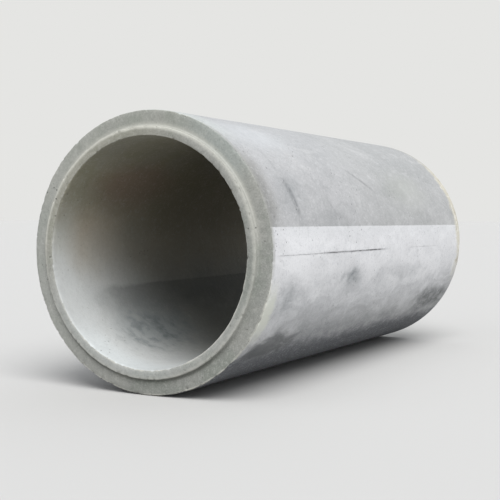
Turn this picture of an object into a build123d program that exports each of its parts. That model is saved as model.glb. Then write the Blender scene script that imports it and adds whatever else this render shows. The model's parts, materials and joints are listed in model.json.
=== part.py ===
"""Reinforced concrete sewer pipe, lying on its side, with a tongue at one end and a groove at the other.

The pipe is one casting: a single ring section turned about the pipe's axis.
X runs along the axis, from the tongue end (-X) to the groove end (+X), and Z is up.
The origin is under the middle of the pipe, on the ground that it lies on.
"""

import os

from build123d import *

# Barrel
bore_diameter = 1000.0
wall_thickness = 115.0
effective_length = 2500.0

# Tongue: the inner part of the wall stands out past the shoulder
tongue_thickness = 45.0
tongue_length = 20.0

# Groove: takes the next pipe's tongue, with room around it and behind it for mortar
joint_radial_clearance = 5.0
joint_end_clearance = 5.0

# Edges, as the steel mould leaves them
barrel_edge_radius = 8.0
bore_edge_radius = 8.0
joint_lead_in = 4.0

# Radii worked out from the sizes above
bore_radius = bore_diameter / 2
outer_radius = bore_radius + wall_thickness
tongue_radius = bore_radius + tongue_thickness
groove_radius = tongue_radius + joint_radial_clearance

# Places along the axis, with the whole length centred on the origin
overall_length = effective_length + tongue_length
tongue_face_x = -overall_length / 2
shoulder_x = tongue_face_x + tongue_length
groove_face_x = overall_length / 2
ledge_x = groove_face_x - tongue_length - joint_end_clearance

# Corners of the section, as (place along the axis, distance from the axis)
tongue_bore_edge = (tongue_face_x, bore_radius)
tongue_tip = (tongue_face_x, tongue_radius)
tongue_root = (shoulder_x, tongue_radius)
shoulder_edge = (shoulder_x, outer_radius)
groove_end_edge = (groove_face_x, outer_radius)
groove_mouth = (groove_face_x, groove_radius)
groove_root = (ledge_x, groove_radius)
ledge_bore_edge = (ledge_x, bore_radius)

# The section stands in the XZ plane, with its own origin on the pipe's axis
pipe_axis = Axis((0, 0, outer_radius), (1, 0, 0))
section_plane = Plane(origin=pipe_axis.position, x_dir=(1, 0, 0), z_dir=(0, -1, 0))


def corners_at(section, *places):
    """The section's vertices that lie at the given corners."""
    return [section.vertices().sort_by_distance(Vector(place))[0] for place in places]


with BuildPart() as pipe:
    with BuildSketch(section_plane) as wall_section:
        with BuildLine():
            Polyline(
                tongue_bore_edge,
                tongue_tip,
                tongue_root,
                shoulder_edge,
                groove_end_edge,
                groove_mouth,
                groove_root,
                ledge_bore_edge,
                close=True,
            )
        make_face()
        fillet(corners_at(wall_section, shoulder_edge, groove_end_edge), barrel_edge_radius)
        fillet(corners_at(wall_section, tongue_bore_edge, ledge_bore_edge), bore_edge_radius)
        chamfer(corners_at(wall_section, tongue_tip, groove_mouth), joint_lead_in)
    revolve(axis=pipe_axis)

pipe.part.label = "pipe"

os.makedirs("parts", exist_ok=True)
export_step(pipe.part, "parts/pipe.step")
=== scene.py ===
"""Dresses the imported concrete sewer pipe: worn edges, cast surfaces and weathered concrete finishes."""

import json
import math

import bmesh
import bpy
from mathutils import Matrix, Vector


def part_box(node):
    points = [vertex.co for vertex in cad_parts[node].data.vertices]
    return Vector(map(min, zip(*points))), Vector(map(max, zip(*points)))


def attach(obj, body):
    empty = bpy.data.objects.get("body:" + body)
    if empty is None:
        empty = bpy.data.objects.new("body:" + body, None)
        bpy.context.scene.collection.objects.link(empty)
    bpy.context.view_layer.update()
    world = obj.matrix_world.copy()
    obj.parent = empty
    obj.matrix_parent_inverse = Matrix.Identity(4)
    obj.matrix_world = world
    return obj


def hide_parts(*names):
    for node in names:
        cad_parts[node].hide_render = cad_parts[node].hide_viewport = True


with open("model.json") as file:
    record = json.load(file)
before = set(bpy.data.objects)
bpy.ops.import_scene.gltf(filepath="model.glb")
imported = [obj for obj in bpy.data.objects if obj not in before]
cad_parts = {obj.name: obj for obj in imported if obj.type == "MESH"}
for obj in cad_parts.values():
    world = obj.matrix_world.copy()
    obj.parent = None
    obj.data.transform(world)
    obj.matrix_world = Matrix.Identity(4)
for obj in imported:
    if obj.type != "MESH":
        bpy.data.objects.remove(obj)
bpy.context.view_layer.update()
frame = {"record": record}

# Sizes of the pipe, in metres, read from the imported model
MM = 0.001
mounts = {mount["name"]: mount for mount in frame["record"]["mounts"]}
pipe_low, pipe_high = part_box("pipe")
axis_height = (pipe_low.z + pipe_high.z) / 2
outer_radius = (pipe_high.z - pipe_low.z) / 2
bore_radius = mounts["bore"]["dims"]["r_mm"] * MM
tongue_radius = mounts["tongue"]["dims"]["r_mm"] * MM
groove_radius = mounts["groove"]["dims"]["r_mm"] * MM
tongue_face_x = pipe_low.x
shoulder_x = mounts["shoulder_face"]["pos_m"][0]
groove_face_x = pipe_high.x
ledge_x = mounts["groove"]["pos_m"][0] - mounts["groove"]["dims"]["length_mm"] * MM / 2
metres_per_degree = outer_radius * math.pi / 180

# Edges of the wall's section, as (along, out) pairs
tongue_mouth = (tongue_face_x, bore_radius)
tongue_rim = (tongue_face_x, tongue_radius)
tongue_root = (shoulder_x, tongue_radius)
shoulder_rim = (shoulder_x, outer_radius)
groove_rim = (groove_face_x, outer_radius)
groove_mouth = (groove_face_x, groove_radius)
groove_root = (ledge_x, groove_radius)
ledge_edge = (ledge_x, bore_radius)

# Rounding of the cast edges, and the fill in the roots of the joint
barrel_rounding = 8 * MM
bore_rounding = 8 * MM
tip_rounding = 5 * MM
root_rounding = 6 * MM


def select_nothing():
    """Leaves no object selected."""
    bpy.ops.object.select_all(action="DESELECT")


def make_active(piece):
    """Selects one object alone and makes it the active one."""
    select_nothing()
    piece.select_set(True)
    bpy.context.view_layer.objects.active = piece


# The pipe's cast shape

points_around = 720
first_step = 3 * MM
step_growth = 1.6
barrel_step = 130 * MM
bore_step = 160 * MM
face_step = 9 * MM


def graded(length, coarse_step):
    """Places along a straight run, close together near its ends and further apart in its middle."""
    near_half = []
    place, step = 0.0, first_step
    while place + step < length / 2:
        place += step
        near_half.append(place)
        step = min(step * step_growth, coarse_step)
    return near_half + [length - place for place in reversed(near_half)]


def section_walk():
    """The wall's section, walked once round from the tongue's mouth, as (along, out) pairs."""
    # Each corner with its rounding, the steps of its arc, and the widest step on the run after it
    corners = [
        (tongue_mouth, bore_rounding, 5, face_step),
        (tongue_rim, tip_rounding, 4, face_step),
        (tongue_root, root_rounding, 3, face_step),
        (shoulder_rim, barrel_rounding, 5, barrel_step),
        (groove_rim, barrel_rounding, 5, face_step),
        (groove_mouth, tip_rounding, 3, face_step),
        (groove_root, root_rounding, 3, face_step),
        (ledge_edge, bore_rounding, 4, bore_step),
    ]
    walk = []
    for here, (corner, rounding, arc_steps, run_step) in enumerate(corners):
        before = Vector(corners[here - 1][0])
        after, after_rounding = corners[(here + 1) % len(corners)][:2]
        corner, after = Vector(corner), Vector(after)
        way_in = (corner - before).normalized()
        way_out = (after - corner).normalized()
        centre = corner + (way_out - way_in) * rounding
        for step in range(arc_steps + 1):
            turn = math.pi / 2 * step / arc_steps
            walk.append(centre + (way_in * math.sin(turn) - way_out * math.cos(turn)) * rounding)
        run = (after - corner).length - rounding - after_rounding
        start = corner + way_out * rounding
        walk += [start + way_out * place for place in graded(run, run_step)]
    return walk


def cast_pipe():
    """One ring of points, extruded ring by ring round the wall's section until it closes."""
    walk = section_walk()
    along, out = walk[0]
    select_nothing()
    bpy.ops.mesh.primitive_circle_add(
        vertices=points_around,
        radius=out,
        fill_type="NOTHING",
        location=(along, 0, axis_height),
        rotation=(0, math.pi / 2, 0),
    )
    pipe = bpy.context.active_object
    pipe.name = "pipe_cast"
    bpy.ops.object.transform_apply(location=True, rotation=True, scale=True)
    bpy.ops.object.mode_set(mode="EDIT")
    for next_along, next_out in walk[1:] + walk[:1]:
        shift = {"value": (next_along - along, 0, 0)}
        bpy.ops.mesh.extrude_edges_move(TRANSFORM_OT_translate=shift)
        growth = next_out / out
        centre = (next_along, 0, axis_height)
        bpy.ops.transform.resize(value=(1, growth, growth), center_override=centre)
        along, out = next_along, next_out
    bpy.ops.mesh.select_all(action="SELECT")
    bpy.ops.mesh.remove_doubles(threshold=0.1 * MM)
    bpy.ops.mesh.normals_make_consistent(inside=False)
    bpy.ops.object.mode_set(mode="OBJECT")
    return pipe


# Wear

worn_edges = [tongue_rim, tongue_mouth, shoulder_rim, groove_rim, groove_mouth, ledge_edge]
outer_edges = [shoulder_rim, groove_rim]
rubbed_reach = 16 * MM
chipped_reach = 14 * MM
knocked_reach = 30 * MM
round_margin = 1 * MM
face_margin = 6 * MM


def out_of_axis(place):
    """Distance of a point from the pipe's axis."""
    return math.hypot(place.y, place.z - axis_height)


def weigh(pipe, name, weight_at):
    """Adds a vertex group whose weight at each point is given by weight_at(along, out), in tenths."""
    group = pipe.vertex_groups.new(name=name)
    tenths = {}
    for vertex in pipe.data.vertices:
        weight = round(10 * weight_at(vertex.co.x, out_of_axis(vertex.co)))
        if weight > 0:
            tenths.setdefault(weight, []).append(vertex.index)
    for weight, members in tenths.items():
        group.add(members, weight / 10, "REPLACE")
    return group.name


def near_edge(reach, edges):
    """A weight that is 1 on the given edges of the section and falls to 0 at reach from them."""

    def weight_at(along, out):
        distance = min(math.hypot(along - edge_along, out - edge_out) for edge_along, edge_out in edges)
        return max(0.0, 1 - distance / reach)

    return weight_at


def relief(pipe, texture, depth, group, level=1.0):
    """Sinks the surface by up to depth where the texture is darker than level, and applies it."""
    modifier = pipe.modifiers.new(texture.name, "DISPLACE")
    modifier.texture = texture
    modifier.texture_coords = "LOCAL"
    modifier.direction = "NORMAL"
    modifier.mid_level = level
    modifier.strength = depth
    modifier.vertex_group = group
    make_active(pipe)
    bpy.ops.object.modifier_apply(modifier=modifier.name)


def cloud_texture(name, grain, depth=2):
    """A cloudy texture with blotches about as large as grain."""
    texture = bpy.data.textures.new(name, "CLOUDS")
    texture.noise_scale = grain
    texture.noise_depth = depth
    return texture


def broken_texture(name, grain, share, edge=0.06):
    """A cloudy texture cut to a few dark patches on white, for what has broken away."""
    texture = cloud_texture(name, grain, 3)
    texture.use_color_ramp = True
    dark, white = texture.color_ramp.elements
    dark.position = share
    dark.color = (0, 0, 0, 1)
    white.position = share + edge
    white.color = (1, 1, 1, 1)
    return texture


def wear_pipe(pipe):
    """Gives the casting its uneven surfaces, its rubbed edges and its chips."""
    barrel = weigh(pipe, "barrel", lambda along, out: float(out > outer_radius - round_margin))
    bore = weigh(pipe, "bore", lambda along, out: float(out < bore_radius + round_margin))
    faces = weigh(pipe, "end_faces", lambda along, out: float(
        bore_radius + face_margin < out < outer_radius - face_margin))
    rubbed = weigh(pipe, "joint_edges", near_edge(rubbed_reach, worn_edges))
    chipped = weigh(pipe, "chipped_edges", near_edge(chipped_reach, worn_edges))
    knocked = weigh(pipe, "knocked_edges", near_edge(knocked_reach, outer_edges))

    relief(pipe, cloud_texture("barrel_swell", 0.35), 2.5 * MM, barrel, 0.75)
    relief(pipe, cloud_texture("bore_swell", 0.22), 4 * MM, bore, 0.75)
    relief(pipe, cloud_texture("face_unevenness", 0.045), 2.2 * MM, faces, 0.85)
    relief(pipe, cloud_texture("rubbing", 0.05, 3), 5 * MM, rubbed)
    relief(pipe, broken_texture("chips", 0.02, 0.33), 4.5 * MM, chipped)
    relief(pipe, broken_texture("knocks", 0.06, 0.22, 0.04), 8 * MM, knocked)


def shade_by_angle(piece, degrees):
    """Smooth shading, with edges sharper than the angle kept crisp."""
    make_active(piece)
    bpy.ops.object.shade_smooth_by_angle(angle=math.radians(degrees))


# Shaders

class Value:
    """A socket of a shader, whose arithmetic adds Math nodes."""

    def __init__(self, shader, socket):
        self.shader = shader
        self.socket = socket

    def __add__(self, other):
        return self.shader.maths("ADD", self, other)

    def __sub__(self, other):
        return self.shader.maths("SUBTRACT", self, other)

    def __rsub__(self, other):
        return self.shader.maths("SUBTRACT", other, self)

    def __mul__(self, other):
        return self.shader.maths("MULTIPLY", self, other)

    def __truediv__(self, other):
        return self.shader.maths("DIVIDE", self, other)

    def __pow__(self, other):
        return self.shader.maths("POWER", self, other)

    def __neg__(self):
        return self.shader.maths("MULTIPLY", self, -1)

    __radd__ = __add__
    __rmul__ = __mul__


def tone(red, green, blue):
    """A colour given as it looks on screen, from 0 to 255, as the shader's linear colour."""

    def linear(shade):
        share = shade / 255
        return share / 12.92 if share <= 0.04045 else ((share + 0.055) / 1.055) ** 2.4

    return (linear(red), linear(green), linear(blue), 1)


def total(values):
    """The sum of several values."""
    first, *others = values
    return sum(others, first)


class Shader:
    """The nodes of one material or sky."""

    def __init__(self, owner):
        owner.use_nodes = True
        self.tree = owner.node_tree
        self.tree.nodes.clear()

    def add(self, kind, settings=None, sockets=None, output=0):
        """Adds a node, sets it, feeds its sockets and gives back one of its outputs."""
        node = self.tree.nodes.new(kind)
        for name, setting in (settings or {}).items():
            setattr(node, name, setting)
        for name, fed in (sockets or {}).items():
            if isinstance(fed, Value):
                self.tree.links.new(fed.socket, node.inputs[name])
            else:
                node.inputs[name].default_value = fed
        return Value(self, node.outputs[output]) if node.outputs else node

    def maths(self, operation, *values):
        return self.add("ShaderNodeMath", {"operation": operation}, dict(enumerate(values)))

    def least(self, values):
        """The smallest of several values."""
        smallest, *others = values
        for other in others:
            smallest = self.maths("MINIMUM", smallest, other)
        return smallest

    def ease(self, value, low, high):
        """0 below low and 1 above high, with a smooth rise between. With low above high it falls."""
        if low > high:
            return 1 - self.ease(value, high, low)
        sockets = {"Value": value, "From Min": low, "From Max": high}
        return self.add("ShaderNodeMapRange", {"interpolation_type": "SMOOTHSTEP"}, sockets)

    def band(self, value, low, high, soft):
        """1 between low and high, with soft borders."""
        return self.ease(value, low - soft, low + soft) * self.ease(value, high + soft, high - soft)

    def blend(self, share, colour, other):
        """The first colour where share is 0, the other where it is 1."""
        sockets = {0: share, 6: colour, 7: other}
        return self.add("ShaderNodeMix", {"data_type": "RGBA", "clamp_factor": True}, sockets, output=2)

    def seen_directly(self):
        """1 for what the camera sees, also by way of gloss or glass, 0 for light that spreads."""
        seen = self.add("ShaderNodeLightPath", output="Is Camera Ray")
        for ray in ("Is Glossy Ray", "Is Transmission Ray"):
            seen = self.maths("MAXIMUM", seen, self.add("ShaderNodeLightPath", output=ray))
        return seen


class Finish(Shader):
    """A concrete finish, laid coat over coat, with the places on the pipe that its patterns need.

    Each finish adds noises of its own, from coarse to fine: clouds, blotches, spots and fine.
    """

    def __init__(self, name):
        self.material = bpy.data.materials.new(name)
        super().__init__(self.material)
        place = self.add("ShaderNodeTexCoord", output="Object")
        from_shoulder = {0: place, 1: (shoulder_x, 0, axis_height)}
        self.place = self.add("ShaderNodeVectorMath", {"operation": "SUBTRACT"}, from_shoulder)
        self.along = self.part(self.place, "X")
        self.across = self.part(self.place, "Y")
        self.rise = self.part(self.place, "Z")
        self.out = self.maths("SQRT", self.across * self.across + self.rise * self.rise)
        # Degrees round the axis: 0 at the near side, 90 on top and -90 on the ground
        self.turn = self.maths("ARCTAN2", self.rise, -self.across) * (180 / math.pi)
        self.side = -self.across / self.out
        self.up = self.rise / self.out
        # Degrees above or below the pipe's middle height, alike on both sides
        self.lean = self.maths("ARCSINE", self.up) * (180 / math.pi)

    def part(self, vector, letter):
        """One of a vector's three numbers."""
        return self.add("ShaderNodeSeparateXYZ", sockets={0: vector}, output=letter)

    def vector(self, x, y, z):
        return self.add("ShaderNodeCombineXYZ", sockets={0: x, 1: y, 2: z})

    def noise(self, place, scale, detail=3, roughness=0.5, distortion=0.0):
        """Cloudy noise round 0.5."""
        sockets = {"Vector": place, "Scale": scale, "Detail": detail}
        sockets.update({"Roughness": roughness, "Distortion": distortion})
        return self.add("ShaderNodeTexNoise", sockets=sockets, output="Fac")

    def hoop_noise(self, closeness, scale, roughness):
        """Rings that run round the wall, as the mould leaves them."""
        place = self.vector(self.along * closeness, self.side * 0.8, self.up * 0.8)
        return self.noise(place, scale, 4, roughness)

    def frayed(self, value, *noises):
        """A value made uneven by noises, given as (noise, amount) pairs."""
        for noise, amount in noises:
            value = value + (noise - 0.5) * amount
        return value

    def patch(self, where, length, spread, noise, softness=0.35):
        """A ragged patch at a place on the wall, length metres along and spread degrees round."""
        along, turn = where
        off_along = (self.along - along) / length
        off_round = (self.turn - turn) / spread
        far = self.maths("SQRT", off_along ** 2 + off_round ** 2)
        return self.ease(far + (noise - 0.5) * 1.6, 1 + softness, 1 - softness)

    def patches(self, noise, places):
        """Several patches, as (place, length, spread, softness, strength)."""
        return total(
            self.patch(where, length, spread, noise, softness) * strength
            for where, length, spread, softness, strength in places
        )

    def streak(self, start, end, width):
        """A streak on the barrel between two places, given as (along, turn) pairs."""
        start_at = Vector((start[0], start[1] * metres_per_degree))
        way = Vector((end[0], end[1] * metres_per_degree)) - start_at
        length = way.length
        way = way / length
        from_start_along = self.along - start_at.x
        from_start_round = self.turn * metres_per_degree - start_at.y
        travelled = from_start_along * way.x + from_start_round * way.y
        aside = self.maths("ABSOLUTE", from_start_round * way.x - from_start_along * way.y)
        ends = self.ease(travelled, 0, length * 0.3) * self.ease(travelled, length, length * 0.6)
        return self.ease(aside, width, width * 0.2) * ends

    def streaks(self, places):
        """Several streaks, as (start, end, width in mm, strength)."""
        return total(
            self.streak(start, end, width_mm * MM) * strength
            for start, end, width_mm, strength in places
        )

    def base(self, share, colour, other):
        """The first coat: one colour where share is 0, the other where it is 1."""
        self.colour = self.blend(share, colour, other)

    def coat(self, share, colour):
        """Lays a colour over what is there already, as strongly as share."""
        self.colour = self.blend(share, self.colour, colour)

    def speckle(self, dark, light, amount):
        """Fine sand and cement grain, darker and lighter than the colour under it."""
        grain = self.noise(self.place, 150, 4, 0.7)
        patina = self.noise(self.place, 46, 5, 0.68, 0.5)
        self.coat(self.ease(grain, 0.5, 0.72) * amount, light)
        self.coat(self.ease(grain, 0.5, 0.28) * amount, dark)
        self.coat(self.ease(patina, 0.53, 0.64) * amount * 0.6, light)
        self.coat(self.ease(patina, 0.46, 0.36) * amount * 0.6, dark)

    def grain_height(self, pits):
        """Fine cast grain with scattered air holes, as a height in metres, and where the holes are."""
        sand = self.noise(self.place, 260, 4, 0.65)
        lumps = self.noise(self.place, 38, 3)
        cells = {"Vector": self.place, "Scale": 42, "Randomness": 1.0}
        holes = self.add("ShaderNodeTexVoronoi", {"feature": "F1"}, cells)
        patchy = self.ease(self.noise(self.place, 3.2, 3, 0.7), 0.46, 0.66)
        mixed_size = self.ease(self.noise(self.place, 31, 2), 0.3, 0.75) + 0.35
        hole = self.ease(holes / mixed_size, 0.2, 0.1) * patchy
        return sand * (0.7 * MM) + lumps * (1.6 * MM) - hole * (pits * 3 * MM), hole

    def close(self, roughness, height):
        """Feeds the surface shader. Height is in metres."""
        bump = {"Strength": 1.0, "Distance": 1.0, "Height": height}
        normal = self.add("ShaderNodeBump", sockets=bump)
        sockets = {"Base Color": self.colour, "Roughness": roughness, "Normal": normal}
        sockets["Specular IOR Level"] = 0.3
        surface = self.add("ShaderNodeBsdfPrincipled", sockets=sockets)
        self.add("ShaderNodeOutputMaterial", sockets={"Surface": surface})
        return self.material


# Marks. A place is (metres from the shoulder, degrees round from the near side).

# The mould joint and the hair crack below it: degrees at the shoulder, and how many they sink per metre
joint_turn = 10.7
joint_sink = 0.4
crack_turn = -0.4
crack_sink = 0.35

# The seam opposite lies just past half a turn, so that it shows only where it wanders back
far_seam_turn = 180.3

# The straight edge of the tide mark in the bore
tide_turn = -158.6

# Streaks: from where, to where, width in mm, strength
scrapes = [
    ((0.252, 34), (0.298, 8), 32, 0.4),
    ((0.262, 30), (0.292, 14), 10, 0.16),
    ((0.98, 41), (1.29, 25), 14, 0.34),
    ((0.20, 52), (0.266, 26), 20, 0.1),
    ((0.50, 118), (0.92, 131), 13, 0.22),
    ((1.90, 150), (1.72, 126), 15, 0.26),
    ((1.44, 24), (1.72, 36), 16, 0.1),
    ((0.60, 24), (0.70, 13), 14, 0.16),
]
smear_streaks = [
    ((0.90, -8), (0.77, -15.5), 40, 0.26),
    ((0.75, -9), (0.70, -14), 26, 0.16),
    ((0.24, -13.5), (0.13, -22), 46, 0.22),
]

# Patches: where, length in metres, spread in degrees, softness of the border, strength
smear_patches = [
    ((0.28, 24), 0.10, 10, 0.9, 0.26),
    ((0.83, -12.5), 0.11, 4.5, 0.9, 0.28),
    ((0.85, -11.5), 0.075, 3.4, 0.8, 0.26),
    ((0.52, -13), 0.10, 4, 0.9, 0.2),
    ((0.20, -18.5), 0.09, 6.5, 0.8, 0.38),
    ((1.66, -13), 0.16, 3.5, 0.9, 0.24),
    ((1.25, -16), 0.18, 5, 0.9, 0.12),
    ((1.45, -162), 0.18, 8, 0.9, 0.26),
    ((0.70, 160), 0.14, 7, 0.9, 0.2),
]
washed_patches = [
    ((1.72, 30), 0.24, 9, 0.9, 0.4),
    ((0.90, 122), 0.30, 10, 0.9, 0.25),
]
# Painted sheen: a pale bluish patch high on the near side
painted_sheen_patches = [
    ((0.34, 57), 0.24, 9, 0.8, 0.4),
]


def dusty_wall(finish):
    """Dusty grey concrete, with painted light making it paler at the crown, with hoops, drag streaks and
    darker tones by the near rim.
    """
    along, turn, blotches, spots = finish.along, finish.turn, finish.blotches, finish.spots
    finish.base(finish.ease(finish.clouds, 0.38, 0.62), tone(160, 161, 162), tone(181, 181, 182))
    # Painted light: the upper wall, facing the sky, is made paler
    crown_light = finish.ease(finish.lean, 26, 58) * (0.6 - finish.ease(along, 0.8, 1.5) * 0.2)
    finish.coat(crown_light, tone(186, 187, 188))
    finish.coat(finish.ease(finish.hoops, 0.48, 0.75) * 0.16, tone(148, 149, 151))

    # Faint streaks that run down and away from the near end, as on a pipe that was rolled and dragged
    round_at = turn * metres_per_degree
    drag = finish.vector(along * 7 + round_at * 12, along * 1.1 - round_at * 0.6, 0)
    dragged = finish.noise(drag, 1.5, 5, 0.66) * finish.band(turn, -30, 90, 20)
    finish.coat(finish.ease(dragged, 0.47, 0.66) * 0.14, tone(146, 147, 149))

    far_half = finish.ease(finish.frayed(along, (finish.clouds, 0.6)), 0.8, 1.3)
    finish.coat(far_half * 0.2, tone(156, 158, 153))
    finish.coat(finish.ease(blotches, 0.52, 0.68) * 0.4, tone(196, 196, 196))
    finish.coat(finish.ease(blotches, 0.44, 0.32) * 0.24, tone(148, 149, 149))

    # Darker by the near rim, high on the near side
    near_rim = finish.ease(finish.frayed(along, (blotches, 0.12)), 0.15, 0.03)
    finish.coat(near_rim * finish.band(turn, 12, 42, 7) * 0.75, tone(148, 147, 144))
    rim_darkening = finish.ease(finish.frayed(along, (spots, 0.06)), 0.09, 0.02)
    finish.coat(rim_darkening * finish.band(turn, 9, 34, 6) * 0.5, tone(130, 130, 128))
    pale_top = finish.ease(finish.frayed(along, (blotches, 0.12)), 0.2, 0.03)
    finish.coat(pale_top * finish.band(turn, 54, 100, 8) * 0.38, tone(202, 209, 203))


def pale_strip(finish, above_joint):
    """The paler wall below the mould joint, with a straight upper edge and a ragged lower one."""
    blotches = finish.blotches
    lower = finish.frayed(finish.lean, (blotches, 26), (finish.clouds, 14))
    strip = finish.ease(above_joint, 0.25, -0.25) * finish.ease(lower, -42, -16)
    under_strip = finish.colour
    finish.base(finish.ease(blotches, 0.4, 0.62), tone(219, 219, 221), tone(229, 229, 231))
    finish.coat(finish.ease(finish.hoops, 0.5, 0.75) * 0.2, tone(203, 204, 208))
    finish.coat(finish.ease(finish.spots, 0.52, 0.68) * 0.3, tone(198, 200, 204))
    finish.coat(finish.ease(finish.lean, 3, 9) * 0.4, tone(204, 205, 207))
    palest = finish.band(finish.frayed(finish.along, (blotches, 0.3)), 0.1, 0.36, 0.07)
    finish.coat(palest * finish.band(finish.turn, -9, 5, 4) * 0.6, tone(236, 236, 238))
    finish.colour = finish.blend(strip, under_strip, finish.colour)
    return strip


def soil_and_low_shade(finish):
    """Mottling below the pale strip, then soil mixed with painted shade, then painted shade towards the
    ground.
    """
    blotches, spots = finish.blotches, finish.spots
    mottled = finish.ease(finish.frayed(finish.lean, (blotches, 34), (spots, 14)), -10, -24)
    finish.coat(mottled * 0.35, tone(176, 178, 182))
    # Soil mixed with painted shade, darker lower down
    soil_and_shade = finish.ease(finish.frayed(finish.lean, (blotches, 20), (spots, 16)), -31, -46)
    finish.coat(soil_and_shade * 0.48, tone(122, 124, 128))
    # Painted shade towards the ground, dark and bluish
    low_shade = finish.ease(finish.frayed(finish.lean, (finish.fine, 12), (blotches, 12)), -38.5, -50)
    finish.coat(low_shade * 0.86, tone(72, 75, 81))


def hair_crack(finish):
    """The crack below the mould joint, opened where grout leaked out, and the plain seam opposite."""
    along, turn = finish.along, finish.turn
    wander = (finish.noise(finish.vector(along, 0, 0), 4.5, 7, 0.7) - 0.5) * 1.3
    beads = finish.noise(finish.vector(along, 0, 3), 9, 7, 0.86)
    aside = finish.maths("ABSOLUTE", turn + along * crack_sink - crack_turn + wander * 0.7)
    half_open = finish.band(along, 0.48, 1.21, 0.06)
    fully_open = finish.band(along, 0.49, 0.62, 0.03) * 0.6 + finish.band(along, 0.88, 1.2, 0.05)
    closed = finish.ease(along, 0.02, 0.1) * finish.ease(along, 1.3, 1.18)
    closed = closed + finish.band(along, 1.62, 2.02, 0.1) * 0.6
    width = 0.12 + finish.ease(beads, 0.4, 0.62) * 0.14 + half_open * 0.12
    ragged = 0.3 + finish.ease(beads, 0.38, 0.56) * 0.8
    depth = closed * 0.38 + half_open * 0.2 + fully_open * 0.3
    crack = finish.ease(aside / width, 1.0, 0.4) * ragged * depth
    finish.coat(crack, tone(70, 70, 72))
    dirt_beside = finish.ease(aside, 0.9, 0.15) * (half_open * 0.2 + closed * 0.07)
    finish.coat(dirt_beside, tone(120, 121, 124))

    off_seam = far_seam_turn - finish.maths("ABSOLUTE", turn) + wander * 0.5
    seam = finish.ease(finish.maths("ABSOLUTE", off_seam), 0.22, 0.08) * finish.ease(beads, 0.3, 0.6)
    finish.coat(seam * 0.35, tone(104, 105, 107))
    return crack, seam


def scrapes_and_smears(finish):
    """What rolling and slinging left on the barrel, and darker patches low on the wall towards both ends.
    """
    blotches, spots = finish.blotches, finish.spots
    finish.coat(finish.streaks(scrapes) * finish.ease(finish.fine, 0.28, 0.56), tone(92, 94, 96))
    finish.coat(finish.patches(blotches, washed_patches), tone(186, 188, 182))
    # Painted sheen: pale bluish patch high on the near side
    finish.coat(finish.patches(blotches, painted_sheen_patches), tone(208, 211, 214))
    smears = finish.patches(blotches, smear_patches) + finish.streaks(smear_streaks)
    finish.coat(smears * (0.55 + finish.ease(spots, 0.32, 0.6) * 0.45), tone(100, 107, 111))
    # Darker patches low on the wall, towards both ends
    low_near = finish.patch((0.24, -41), 0.18, 8, blotches) * 0.7
    low_far = finish.patch((2.22, -32.5), 0.30, 6, blotches, 0.7)
    low_far = low_far * (0.35 + finish.ease(spots, 0.36, 0.64) * 0.35)
    far_edge = finish.patch((2.42, -22), 0.14, 7, blotches, 0.8) * 0.2
    finish.coat(low_near + low_far + far_edge, tone(74, 77, 78))


def worn_ends(finish):
    """The grey lip and pale patch by the near rim, and rubbed yellowish concrete at both ends."""
    along, turn = finish.along, finish.turn
    blotches, spots, fine = finish.blotches, finish.spots, finish.fine
    lip = finish.ease(finish.frayed(along, (fine, 0.02)), 0.026, 0.006)
    lip = lip * finish.band(turn, -8, 62, 8)
    finish.coat(lip * 0.6, tone(148, 148, 144))
    pale = finish.ease(finish.frayed(along, (spots, 0.06)), 0.095, 0.055)
    finish.coat(pale * finish.band(turn, -33, -14, 7) * 0.84, tone(217, 219, 208))
    from_ends = finish.least([along, groove_face_x - shoulder_x - along])
    rubbed = finish.ease(finish.frayed(from_ends, (fine, 0.03)), 0.018, 0.004)
    finish.coat(rubbed * finish.ease(blotches, 0.4, 0.6) * (1 - lip) * 0.55, tone(200, 198, 188))

    # Lime crust at the far end, mostly on the near side
    crust = finish.ease(finish.frayed(along, (spots, 0.11), (blotches, 0.1)), 2.405, 2.455)
    crust = crust * finish.ease(finish.frayed(finish.lean, (blotches, 20)), -26, -10)
    crust = crust * (0.25 + finish.band(finish.frayed(turn, (blotches, 30)), -14, 50, 12) * 0.75)
    finish.coat(crust * 0.8, tone(203, 198, 181))
    finish.coat(crust * finish.ease(fine, 0.52, 0.64) * 0.6, tone(234, 232, 225))
    finish.coat(crust * finish.ease(fine, 0.46, 0.34) * 0.5, tone(134, 122, 106))


def barrel_finish():
    """The outside of the barrel: dusty grey above the mould joint, clean and pale just below it."""
    finish = Finish("barrel_concrete")
    stretched = finish.vector(finish.along * 0.5, finish.across, finish.rise)
    finish.hoops = finish.hoop_noise(9, 1.6, 0.6)
    finish.clouds = finish.noise(stretched, 2.6, 5, 0.6)
    finish.blotches = finish.noise(stretched, 9, 5, 0.64, 0.6)
    finish.spots = finish.noise(stretched, 30, 5, 0.66, 0.4)
    finish.fine = finish.noise(finish.place, 24, 5, 0.7)
    height, hole = finish.grain_height(0.6)

    above_joint = finish.lean + finish.along * joint_sink - joint_turn
    above_joint = finish.frayed(above_joint, (finish.fine, 0.4))
    dusty_wall(finish)
    strip = pale_strip(finish, above_joint)
    soil_and_low_shade(finish)
    finish.speckle(tone(134, 135, 137), tone(222, 222, 224), 0.28)
    crack, seam = hair_crack(finish)
    scrapes_and_smears(finish)
    worn_ends(finish)
    finish.coat(hole * 0.75, tone(92, 92, 92))

    roughness = finish.frayed(0.84 - strip * 0.08, (finish.fine, 0.2))
    step = finish.ease(above_joint, 0.12, -0.12)
    height = height + step * (1.0 * MM) + finish.hoops * (0.6 * MM)
    height = height - crack * (2.5 * MM) + seam * (0.8 * MM)
    return finish.close(roughness, height)


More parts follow.
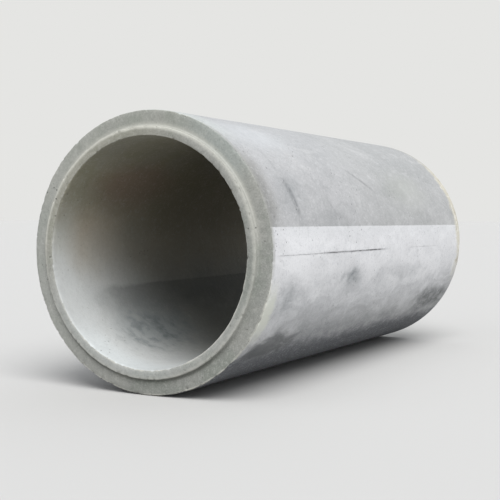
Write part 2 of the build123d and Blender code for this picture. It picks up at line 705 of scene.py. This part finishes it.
def tinted_faces(finish, tongue):
    """Lighter low on the tongue and high on the shoulder, darker near the ground, cool above."""
    shoulder = 1 - tongue
    turn, up, side = finish.turn, finish.up, finish.side
    pale = finish.ease(up, 0.1, -0.8) * (1 - finish.ease(side, 0.05, 0.5) * 0.6)
    finish.coat(pale * tongue * 0.5, tone(178, 180, 178))
    finish.coat(finish.band(turn, -24, 8, 14) * tongue * 0.3, tone(128, 130, 126))
    finish.coat(finish.ease(-side, 0.3, 0.95) * shoulder * 0.5, tone(166, 167, 162))
    finish.coat(finish.band(turn, -44, -18, 14) * shoulder * 0.35, tone(124, 126, 121))
    finish.coat(finish.ease(up, 0.2, 0.95) * shoulder * 0.4, tone(162, 163, 155))
    cool = finish.band(finish.frayed(turn, (finish.clouds, 30)), 38, 66, 10)
    finish.coat(cool * shoulder * 0.6, tone(155, 162, 159))
    yellow = finish.ease(up * 0.7 - side * 0.6, 0.2, 0.9)
    finish.coat(yellow * tongue * 0.5, tone(155, 151, 135))
    below = finish.ease(finish.frayed(up, (finish.blotches, 0.5)), -0.6, -1.0)
    finish.coat(below * shoulder * 0.25, tone(118, 119, 115))


def away_from(finish, edge):
    """Distance from an edge of the wall's section, a little uneven."""
    off_along = finish.along - (edge[0] - shoulder_x)
    off_out = finish.out - edge[1]
    distance = finish.maths("SQRT", off_along * off_along + off_out * off_out)
    return finish.frayed(distance, (finish.fine, 0.012))


def joint_edges(finish, tongue):
    """Slurry in the tongue's root with a painted highlight, pale rubbed edges with painted highlights,
    and painted shade low in the joint's inner corners.
    """
    blotches, up, turn = finish.blotches, finish.up, finish.turn
    # Pale slurry by the tongue's root with a painted highlight, only on the upper part
    root_out = finish.frayed(finish.out, (finish.fine, 0.012))
    slurry_and_highlight = finish.ease(root_out, tongue_radius + 24 * MM, tongue_radius + 4 * MM) * (1 - tongue)
    slurry_and_highlight = slurry_and_highlight * finish.ease(finish.frayed(up, (finish.clouds, 0.5)), -0.15, 0.5)
    slurry_and_highlight = slurry_and_highlight * finish.ease(finish.along, 0.5, 0.4)
    finish.coat(slurry_and_highlight * 0.5, tone(196, 195, 187))

    # The tongue's rim is rubbed, with a painted highlight, most on its upper half; the other edges are
    # rubbed, with a painted highlight, most near the ground
    tip_wear_and_highlight = finish.ease(away_from(finish, tongue_rim), 0.02, 0.007)
    tip_wear_and_highlight = tip_wear_and_highlight * (0.25 + finish.ease(up, -0.3, 0.3) * 0.45) * finish.ease(blotches, 0.25, 0.45)
    tip_wear_and_highlight = tip_wear_and_highlight * (1 - finish.band(turn, 0, 66, 16) * 0.5)
    other_edges = [edge for edge in worn_edges if edge != tongue_rim]
    others = finish.least([away_from(finish, edge) for edge in other_edges])
    others = finish.ease(others, 0.012, 0.003) * finish.ease(blotches, 0.34, 0.54)
    others = others * (0.2 + finish.ease(up - finish.side * 0.3, -0.1, -0.7) * 0.55)
    near_side = finish.band(turn, -10, 62, 10) * finish.ease(finish.along, 0.3, 0.2)
    others = others * (1 - near_side * 0.7)
    # Pale rubbed edges, partly a painted highlight
    finish.coat(finish.maths("MAXIMUM", tip_wear_and_highlight, others), tone(206, 205, 196))

    # Painted shade: a dark crescent low in the joint's inner corners, under the tongue and in the
    # groove's root
    roots = finish.least([away_from(finish, edge) for edge in (tongue_root, groove_root)])
    root_shade = finish.ease(roots, 0.018, 0.003) * finish.ease(up, -0.5, -0.9)
    finish.coat(root_shade * 0.55, tone(70, 73, 66))


def joint_finish():
    """The end faces and the joint's steps: rougher, greener grey, with rubbed pale edges that carry
    painted highlights.
    """
    finish = Finish("joint_concrete")
    finish.clouds = finish.noise(finish.place, 4.5, 5, 0.6)
    finish.blotches = finish.noise(finish.place, 12, 5, 0.62, 0.4)
    finish.fine = finish.noise(finish.place, 34, 5, 0.7)
    height, hole = finish.grain_height(0.8)

    finish.base(finish.ease(finish.clouds, 0.35, 0.66), tone(138, 140, 135), tone(156, 156, 151))
    finish.coat(finish.ease(finish.blotches, 0.48, 0.72) * 0.4, tone(170, 169, 163))
    green = finish.ease(finish.frayed(finish.clouds, (finish.fine, 0.4)), 0.52, 0.36)
    finish.coat(green * 0.35, tone(132, 139, 128))
    tongue = finish.ease(finish.out, tongue_radius + 2 * MM, tongue_radius - 2 * MM)
    tinted_faces(finish, tongue)
    finish.speckle(tone(112, 113, 108), tone(192, 192, 186), 0.34)
    joint_edges(finish, tongue)
    finish.coat(hole * 0.8, tone(78, 78, 74))
    return finish.close(finish.frayed(0.88, (finish.fine, 0.15)), height + finish.fine * (1.5 * MM))


def brown_film(finish, deep_shade):
    """The film on the upper wall, in olive, tan and reddish brown, darkened deeper in by painted shade.
    """
    up, blotches = finish.up, finish.blotches
    bare = finish.colour
    finish.base(finish.ease(blotches, 0.4, 0.6), tone(127, 122, 94), tone(140, 134, 112))
    uneven_up = finish.frayed(up, (blotches, 0.3))
    tan = finish.band(finish.along, 0.12, 0.5, 0.1) * finish.ease(uneven_up, 0.5, 0.2)
    finish.coat(tan * 0.85, tone(178, 161, 136))
    red = finish.patch((0.48, 143), 0.30, 14, finish.clouds, 0.6)
    finish.coat(red * 0.7, tone(124, 93, 74))
    # Painted shade: darker olive deeper inside the bore
    finish.coat(deep_shade * 0.6, tone(84, 74, 50))
    finish.coat(finish.ease(uneven_up, 0.66, 0.95) * 0.5, tone(92, 88, 74))
    film = finish.ease(finish.frayed(up, (finish.clouds, 0.5), (blotches, 0.35)), -0.36, 0.7)
    film = film * 0.85 * finish.ease(finish.along, 2.45, 1.8)
    finish.colour = finish.blend(film, bare, finish.colour)


def tide_mark(finish):
    """A straight dark edge along the wall, fading downwards, with a bluish mottled patch below it."""
    along, turn, blotches = finish.along, finish.turn, finish.blotches
    softness = finish.ease(along, 0.8, 0.25)
    above_edge = finish.frayed(turn - tide_turn, (finish.fine, 1.6), (blotches, softness * 8))
    tide = finish.ease(above_edge / (0.6 + softness * 2), -1, 1)
    tide = tide * finish.ease(finish.frayed(turn, (blotches, 26)), -130, -151)
    tide = tide * finish.ease(finish.frayed(along, (blotches, 0.3)), 0.12, 0.5)
    tide = tide * (1 - finish.ease(finish.frayed(along, (blotches, 0.6)), 1.7, 2.4) * 0.65)
    finish.coat(tide * 0.42, tone(82, 85, 84))
    finish.coat(finish.patch((0.56, -128), 0.26, 15, blotches, 0.7) * 0.4, tone(122, 133, 137))
    spots = finish.noise(finish.place, 13, 5, 0.62, 0.2)
    mottles = finish.patch((0.48, -124), 0.22, 13, blotches, 0.8) * finish.ease(spots, 0.42, 0.66)
    finish.coat(mottles * 0.6, tone(84, 94, 97))


def bore_finish():
    """The inside of the bore: smoother and paler, with a brown film above, a dark tide mark, painted
    shade deeper in and painted light on its floor by the mouth.
    """
    finish = Finish("bore_concrete")
    along, up = finish.along, finish.up
    finish.clouds = finish.noise(finish.place, 2.4, 5, 0.6, 0.3)
    finish.blotches = finish.noise(finish.place, 8, 5, 0.6, 0.5)
    finish.fine = finish.noise(finish.place, 26, 5, 0.7)
    rings = finish.hoop_noise(7, 1.5, 0.55)
    height, hole = finish.grain_height(0.5)

    finish.base(finish.ease(finish.clouds, 0.36, 0.66), tone(195, 197, 196), tone(209, 211, 210))
    finish.coat(finish.ease(finish.blotches, 0.5, 0.75) * 0.3, tone(178, 180, 178))
    inward = finish.frayed(along, (finish.clouds, 0.3))
    # Painted shade: the wall darkens deeper inside the bore, where little light reaches
    deep_shade = finish.ease(inward, 0.04, 0.95) * finish.ease(inward, 2.5, 1.7)
    finish.coat(deep_shade * (0.88 - finish.ease(up, 0.35, 0) * 0.14), tone(106, 107, 102))
    veil = finish.ease(finish.frayed(up, (finish.clouds, 0.4)), -0.5, 0.05)
    finish.coat(veil * finish.ease(along, 0.04, 0.2) * 0.36, tone(172, 158, 132))
    # Painted light: the floor of the bore just inside the mouth is made paler and bluish, where light
    # falls in
    mouth_light = finish.ease(finish.frayed(along, (finish.blotches, 0.1)), 0.2, 0.05)
    finish.coat(mouth_light * finish.band(finish.turn, -135, -84, 14) * 0.4, tone(212, 219, 221))
    brown_film(finish, deep_shade)
    finish.speckle(tone(120, 121, 118), tone(216, 218, 217), 0.13)
    tide_mark(finish)
    finish.coat(hole * 0.6, tone(92, 92, 88))
    return finish.close(finish.frayed(0.8, (finish.fine, 0.2)), height + rings * (1.2 * MM))


# How far from the round surfaces, and from their ends, their finishes reach
barrel_reach = 20 * MM
bore_reach = 15 * MM
end_margin = 5 * MM


def on_barrel(along, out):
    """Whether a face of the casting takes the barrel's finish."""
    between_ends = shoulder_x + end_margin < along < groove_face_x - end_margin
    return out > outer_radius - barrel_reach and between_ends


def in_bore(along, out):
    """Whether a face of the casting takes the bore's finish."""
    between_ends = tongue_face_x + end_margin < along < ledge_x - end_margin
    return out < bore_radius + bore_reach and between_ends


def give_finishes(pipe):
    """Gives the joint's faces, the barrel and the bore their own finishes, chosen by place."""
    for material in (joint_finish(), barrel_finish(), bore_finish()):
        pipe.data.materials.append(material)
    make_active(pipe)
    bpy.ops.object.mode_set(mode="EDIT")
    mesh = bmesh.from_edit_mesh(pipe.data)
    for slot, belongs in ((1, on_barrel), (2, in_bore)):
        bpy.ops.mesh.select_all(action="DESELECT")
        for face in mesh.faces:
            centre = face.calc_center_median()
            face.select_set(belongs(centre.x, out_of_axis(centre)))
        bmesh.update_edit_mesh(pipe.data)
        pipe.active_material_index = slot
        bpy.ops.object.material_slot_assign()
    bpy.ops.object.mode_set(mode="OBJECT")


# Studio

def floor_finish():
    """Plain matt paper, a little paler to the eye than in the light it throws back."""
    material = bpy.data.materials.new("pale_floor")
    shader = Shader(material)
    colour = shader.blend(shader.seen_directly(), tone(190, 189, 186), tone(203, 202, 200))
    surface = shader.add("ShaderNodeBsdfPrincipled", sockets={"Base Color": colour, "Roughness": 0.9})
    shader.add("ShaderNodeOutputMaterial", sockets={"Surface": surface})
    return material


def make_floor():
    """A wide pale floor under the pipe."""
    select_nothing()
    bpy.ops.mesh.primitive_plane_add(size=240, location=(0, 0, pipe_low.z))
    floor = bpy.context.active_object
    floor.name = "floor"
    bpy.ops.object.transform_apply(location=True, rotation=True, scale=True)
    floor.data.materials.append(floor_finish())


def make_sky():
    """Soft light from all round, and a plain pale background for the camera."""
    world = bpy.data.worlds.new("soft_sky")
    bpy.context.scene.world = world
    shader = Shader(world)
    lit_by = {"Color": (0.93, 0.96, 1.0, 1), "Strength": 0.6}
    shown = {"Color": tone(229, 229, 227), "Strength": 1.0}
    light = shader.add("ShaderNodeBackground", sockets=lit_by)
    background = shader.add("ShaderNodeBackground", sockets=shown)
    mixed = {0: shader.seen_directly(), 1: light, 2: background}
    sky = shader.add("ShaderNodeMixShader", sockets=mixed)
    shader.add("ShaderNodeOutputWorld", sockets={"Surface": sky})


def soft_sun(name, direction, spread, strength):
    """Even light from one side of the sky, with shadows as soft as spread, in degrees."""
    lamp = bpy.data.lights.new(name, "SUN")
    lamp.angle = math.radians(spread)
    lamp.energy = strength
    light = bpy.data.objects.new(name, lamp)
    light.rotation_euler = Vector(direction).to_track_quat("Z", "Y").to_euler()
    bpy.context.scene.collection.objects.link(light)


# The camera stands where it stood for the photograph, and looks straight at the pipe
camera_place = Vector((-4.790, -2.460, 0.775))
camera_aim = Vector((-0.316, 0.0, 0.60))
view_angle = math.radians(28)


def make_camera():
    """A camera at its place, turned to its aim."""
    data = bpy.data.cameras.new("camera")
    data.sensor_width = 36
    data.lens = data.sensor_width / 2 / math.tan(view_angle / 2)
    camera = bpy.data.objects.new("camera", data)
    camera.location = camera_place
    camera.rotation_euler = (camera_aim - camera_place).to_track_quat("-Z", "Y").to_euler()
    bpy.context.scene.collection.objects.link(camera)
    bpy.context.scene.camera = camera


pipe = cast_pipe()
wear_pipe(pipe)
shade_by_angle(pipe, 40)
give_finishes(pipe)
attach(pipe, "root")
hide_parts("pipe")

make_floor()
make_sky()
soft_sun("key", direction=(-0.45, -0.42, 0.79), spread=45, strength=2.8)
make_camera()
bpy.context.scene.view_settings.view_transform = "Standard"
